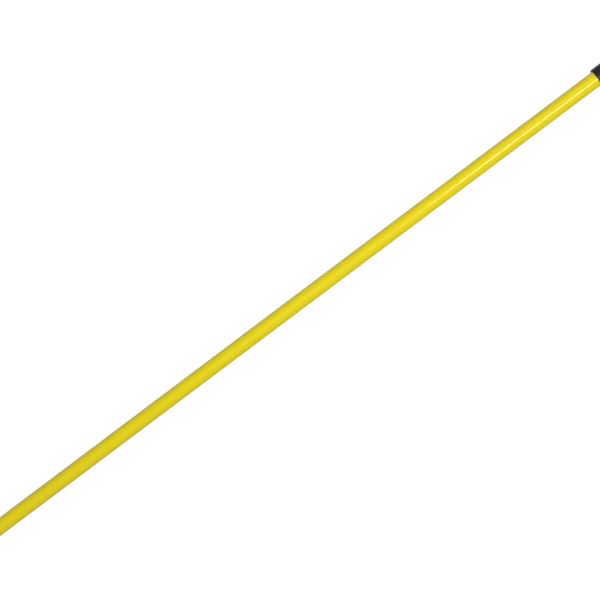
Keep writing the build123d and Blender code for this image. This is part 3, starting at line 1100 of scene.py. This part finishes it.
@dataclass
class OuterSection:
    """Painted tube with its grip, butt cap and the base of the lock."""

    shop: Workshop
    tube: DrilledTube = DrilledTube(
        name="painted_tube",
        node="outer_tube",
        slot=Slot.COAT,
        wall=0.7,
        edge=0.25,
        pins=("cap_rivets", "base_rivets"),
    )
    grip_bore: float = 12.5
    butt_round: float = 0.8
    mouth_round: float = 1.4
    land_round: float = 0.5
    groove_pitch: float = 10.0
    groove_width: float = 2.4
    groove_depth: float = 0.9
    groove_round: float = 0.4
    groove_start: float = 20.0
    rib_count: int = 60
    rib_faces: int = 6
    rib_depth: float = 0.35
    rib_margin: float = 1.0
    carried: dict[str, Slot] = field(
        default_factory=lambda: {
            "butt_cap": Slot.NYLON,
            "cap_rivets": Slot.RIVET,
            "guide_liner": Slot.ACETAL,
            "lock_base": Slot.NYLON,
            "base_rivets": Slot.RIVET,
        }
    )

    def build(self) -> None:
        """Makes the tube and the grip, and dresses the rest."""
        self.tube.build(self.shop, Body.OUTER)
        self.grip()
        self.shop.dress(self.carried)

    def grip(self) -> None:
        """The grip: rounded lands between grooves, ribbed along them for the hand."""
        first, last, radius = self.shop.span("grip_sleeve")
        corners = [Corner(first, self.grip_bore), Corner(first, radius, self.butt_round)]
        bottom = radius - self.groove_depth
        slope = self.groove_width / 4
        groove = first + self.groove_start
        land = first
        while groove + self.groove_width < last - self.groove_start / 2:
            corners += self._land(land, groove, radius)
            corners += [
                Corner(groove + slope, bottom, self.groove_round),
                Corner(groove + self.groove_width - slope, bottom, self.groove_round),
            ]
            land = groove + self.groove_width
            groove += self.groove_pitch
        corners += [
            Corner(land, radius, self.land_round),
            Corner(last, radius, self.mouth_round),
            Corner(last, self.grip_bore),
        ]
        piece = self.shop.lathe.turn(
            "ribbed_grip",
            Outline(corners, arc_steps=2, hold=0.3),
            self.shop.finishes[Slot.RUBBER.value],
            self.shop.axis_height,
            self.rib_count * self.rib_faces,
            Rib_Count=self.rib_count,
            Rib_Depth=self.rib_depth * MM,
        )
        self.shop.mount(piece, Body.OUTER, Slot.RUBBER, "grip_sleeve")

    def _land(self, start: float, end: float, radius: float) -> list[Corner]:
        """The land between two grooves, with its ribs running out short of the grooves.

        Args:
            start: Where the land begins.
            end: Where it ends.
            radius: Its radius.

        Returns:
            Its corners. The smooth stretch at the grip's butt has no ribs, and only its far corner.
        """
        if end - start > self.groove_pitch:
            return [Corner(end, radius, self.land_round)]
        margin = self.rib_margin
        return [
            Corner(start, radius, self.land_round),
            Corner(start + margin, radius, 0.0),
            Corner(start + 2 * margin, radius, 0.0, cut=1.0),
            Corner(end - 2 * margin, radius, 0.0, cut=1.0),
            Corner(end - margin, radius, 0.0),
            Corner(end, radius, self.land_round),
        ]


@dataclass
class TwistLock:
    """Clamp ring, nut, wiper and the nut's soft cover."""

    shop: Workshop
    flutes: int = 8
    flute_radius: float = 9.0
    flute_depth: float = 1.05
    land_radius: float = 18.0
    core_radius: float = 16.5
    sectors: int = 240
    edge: float = 0.5
    bore_edge: float = 0.1
    groove_count: int = 9
    groove_width: float = 1.2
    groove_depth: float = 0.4
    groove_edge: float = 0.2
    groove_round: float = 0.3
    carried: dict[str, Slot] = field(
        default_factory=lambda: {
            "clamp_ring": Slot.ACETAL,
            "lock_nut": Slot.NYLON,
            "mouth_wiper": Slot.FELT,
        }
    )

    def build(self) -> None:
        """Makes the cover and dresses the rest."""
        self.cover()
        self.shop.dress(self.carried)

    def cover(self) -> None:
        """The soft cover: finger flutes along it and fine grooves round it."""
        first, last, _ = self.shop.span("nut_cover")
        land = self.land_radius
        half = self.groove_width / 2
        pitch = (last - first) / (self.groove_count + 1)
        corners = [
            Corner(first, self.core_radius, self.bore_edge),
            Corner(first, land, self.edge, cut=1.0),
        ]
        for number in range(1, self.groove_count + 1):
            middle = first + number * pitch
            corners += [
                Corner(middle - half, land, self.groove_edge, cut=1.0),
                Corner(middle, land - self.groove_depth, self.groove_round, cut=1.0),
                Corner(middle + half, land, self.groove_edge, cut=1.0),
            ]
        corners += [
            Corner(last, land, self.edge, cut=1.0),
            Corner(last, self.core_radius, self.bore_edge),
        ]
        piece = self.shop.lathe.turn(
            "fluted_cover",
            Outline(corners, hold=0.3),
            self.shop.finishes[Slot.RUBBER.value + COVER],
            self.shop.axis_height,
            self.sectors,
            Flute_Count=self.flutes,
            Flute_Reach=(land - self.flute_depth + self.flute_radius) * MM,
            Flute_Radius=self.flute_radius * MM,
        )
        self.shop.mount(piece, Body.NUT, Slot.RUBBER, "nut_cover")


@dataclass
class InnerSection:
    """Sliding tube with its end plug, bush and screw tip."""

    shop: Workshop
    collar_taper: float = 0.9
    collar_round: float = 0.8
    waist_round: float = 5.0
    plug_gap: float = 0.02
    plug_round: float = 1.0
    shank_bore: float = 5.02
    shank_floor: float = 4.0
    tube: DrilledTube = DrilledTube(
        name="sliding_tube",
        node="inner_tube",
        slot=Slot.ZINC,
        wall=0.6,
        edge=0.2,
        pins=("plug_pin", "tip_pin"),
    )
    carried: dict[str, Slot] = field(
        default_factory=lambda: {
            "end_plug": Slot.NYLON,
            "plug_pin": Slot.PIN,
            "guide_bush": Slot.ACETAL,
            "bush_washer": Slot.PIN,
            "bush_screw": Slot.PIN,
            "threaded_tip": Slot.CASTING,
            "tip_pin": Slot.PIN,
        }
    )

    def build(self) -> None:
        """Makes the tube and the ferrule, and dresses the rest."""
        self.tube.build(self.shop, Body.INNER)
        self.ferrule()
        self.shop.dress(self.carried)

    def ferrule(self) -> None:
        """The moulded ferrule: a plug drilled for its pin, and a collar that tapers to the tip."""
        first, last, collar = self.shop.span("tip_ferrule")
        _, shoulder, radius = self.shop.span("inner_tube")
        plug = radius - self.tube.wall - self.plug_gap
        floor = first + self.shank_floor
        outline = Outline(
            [
                Corner(first, 0.0, 0.0),
                Corner(first, plug, self.plug_round),
                Corner(shoulder, plug),
                Corner(shoulder, collar, self.collar_round),
                Corner((shoulder + last) / 2, collar, self.waist_round),
                Corner(last, collar - self.collar_taper, self.collar_round),
                Corner(last, self.shank_bore),
                Corner(floor, self.shank_bore),
                Corner(floor, 0.0, 0.0),
            ],
            arc_steps=5,
        )
        piece = self.shop.lathe.turn(
            "moulded_ferrule",
            outline,
            self.shop.finishes[Slot.NYLON.value],
            self.shop.axis_height,
            self.tube.sectors,
            [(self.shop.middle("tip_pin"), self.tube.hole_radius)],
        )
        self.shop.mount(piece, Body.INNER, Slot.NYLON, "tip_ferrule")


# -------------------------------------------------------------------- studio


@dataclass(frozen=True)
class SoftBox:
    """An area light over the pole, placed along it, across it and above it, in metres."""

    name: str
    along: float
    across: float
    above: float
    length: float
    width: float
    watts: float
    in_gloss: bool = True

    def build(self) -> None:
        """Makes the light, aimed at the pole under its own station."""
        data = bpy.data.lights.new(self.name, "AREA")
        data.shape = "RECTANGLE"
        data.size = self.length
        data.size_y = self.width
        data.energy = self.watts
        lamp = bpy.data.objects.new(self.name, data)
        bpy.context.scene.collection.objects.link(lamp)
        back = Vector((0.0, self.across, self.above)).normalized()
        side = Vector((1.0, 0.0, 0.0))
        up = back.cross(side)
        turn = Matrix((side, up, back)).transposed().to_4x4()
        lamp.matrix_world = Matrix.Translation((self.along, self.across, self.above)) @ turn
        lamp.visible_glossy = self.in_gloss
        lamp.visible_camera = False


@dataclass
class Studio:
    """Camera, floor and light round the pole."""

    lens_mm: float = 90.0
    film_mm: float = 36.0
    distance: float = 2.385
    aim_station: float = 0.0947
    aim_aside: float = 0.0022
    roll: float = math.radians(36.92)
    lean: float = math.radians(5.68)
    clip_end: float = 100.0
    floor_size: float = 110.0
    floor_tone: float = 0.5
    floor_roughness: float = 0.9
    floor_specular: float = 0.1
    floor_glow: float = 0.76
    sky_seen: float = 0.84
    sky_gloss: float = 0.3
    sky_light: float = 0.25
    # Each box: along, across, above; length, width; watts.
    boxes: tuple[SoftBox, ...] = (
        SoftBox("highlight_box", 1.19, -0.60, 2.38, 1.54, 0.38, 24.5),
        SoftBox("side_box", 1.45, 1.40, 2.38, 1.6, 1.9, 4.0),
        SoftBox("overhead_box", 0.08, 0.0, 2.3, 1.2, 1.2, 27.5, in_gloss=False),
    )

    def camera(self, axis_height: float) -> None:
        """Makes the camera, above the pole and leaning towards its tip.

        Args:
            axis_height: Height of the pole's axis.
        """
        data = bpy.data.cameras.new("studio_camera")
        data.lens = self.lens_mm
        data.sensor_width = self.film_mm
        data.clip_end = self.clip_end
        camera = bpy.data.objects.new("studio_camera", data)
        bpy.context.scene.collection.objects.link(camera)
        bpy.context.scene.camera = camera
        along = Vector(
            (
                math.cos(self.lean) * math.cos(self.roll),
                math.cos(self.lean) * math.sin(self.roll),
                math.sin(self.lean),
            )
        )
        upright = Vector(
            (
                -math.sin(self.lean) * math.cos(self.roll),
                -math.sin(self.lean) * math.sin(self.roll),
                math.cos(self.lean),
            )
        )
        aside = upright.cross(along)
        turn = Matrix((along, aside, upright))
        seen = Vector((0.0, -self.aim_aside, -self.distance))
        place = Vector((self.aim_station, 0.0, axis_height)) - turn @ seen
        camera.matrix_world = Matrix.Translation(place) @ turn.to_4x4()

    def floor(self) -> None:
        """Makes the pale floor, as bright to the eye as a light table but dimmer as a light."""
        half = self.floor_size / 2
        mesh = bpy.data.meshes.new("studio_floor")
        rim = [(-half, -half, 0), (half, -half, 0), (half, half, 0), (-half, half, 0)]
        mesh.from_pydata(rim, [], [(0, 1, 2, 3)])
        floor = bpy.data.objects.new("studio_floor", mesh)
        bpy.context.scene.collection.objects.link(floor)
        material = bpy.data.materials.new("pale_floor")
        material.use_nodes = True
        material.node_tree.nodes.clear()
        sketch = Sketch(material.node_tree)
        direct = sketch.add("ShaderNodeLightPath").outputs["Is Camera Ray"]
        shader = sketch.add(
            "ShaderNodeBsdfPrincipled",
            {
                "Base Color": (self.floor_tone, self.floor_tone, self.floor_tone, 1.0),
                "Roughness": self.floor_roughness,
                "Specular IOR Level": self.floor_specular,
                "Emission Color": (1.0, 1.0, 1.0, 1.0),
                "Emission Strength": sketch.math("MULTIPLY", direct, self.floor_glow),
            },
        )
        sketch.add("ShaderNodeOutputMaterial", {"Surface": shader.outputs[0]})
        mesh.materials.append(material)

    def light(self) -> None:
        """Makes the soft boxes and the pale surround, which is brightest as a backdrop."""
        for box in self.boxes:
            box.build()
        world = bpy.data.worlds.new("pale_surround")
        world.use_nodes = True
        world.node_tree.nodes.clear()
        sketch = Sketch(world.node_tree)
        ray = sketch.add("ShaderNodeLightPath").outputs
        gloss_gain = self.sky_gloss - self.sky_light
        seen_gain = self.sky_seen - self.sky_light
        in_gloss = sketch.math("MULTIPLY_ADD", ray["Is Glossy Ray"], gloss_gain, self.sky_light)
        strength = sketch.math("MULTIPLY_ADD", ray["Is Camera Ray"], seen_gain, in_gloss)
        shine = sketch.add(
            "ShaderNodeBackground", {"Color": (1.0, 1.0, 1.0, 1.0), "Strength": strength}
        )
        sketch.add("ShaderNodeOutputWorld", {"Surface": shine.outputs[0]})
        bpy.context.scene.world = world
        bpy.context.scene.view_settings.view_transform = "Standard"
        bpy.context.scene.view_settings.look = "None"


def main() -> None:
    """Loads the frame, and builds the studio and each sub-assembly."""
    logging.basicConfig(level=logging.INFO, format="%(name)s: %(message)s")
    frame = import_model()
    low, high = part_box("outer_tube")
    axis_height = (low.z + high.z) / 2
    studio = Studio()
    studio.camera(axis_height)
    effects = Effects.make()
    finishes = {finish.name: finish.build(effects, axis_height) for finish in FINISHES}
    shop = Workshop(frame, finishes, Lathe.make(), axis_height)
    for section in (OuterSection(shop), TwistLock(shop), InnerSection(shop)):
        section.build()
        LOG.info("finished %s", type(section).__name__)
    studio.floor()
    studio.light()


if __name__ == "__main__":
    main()
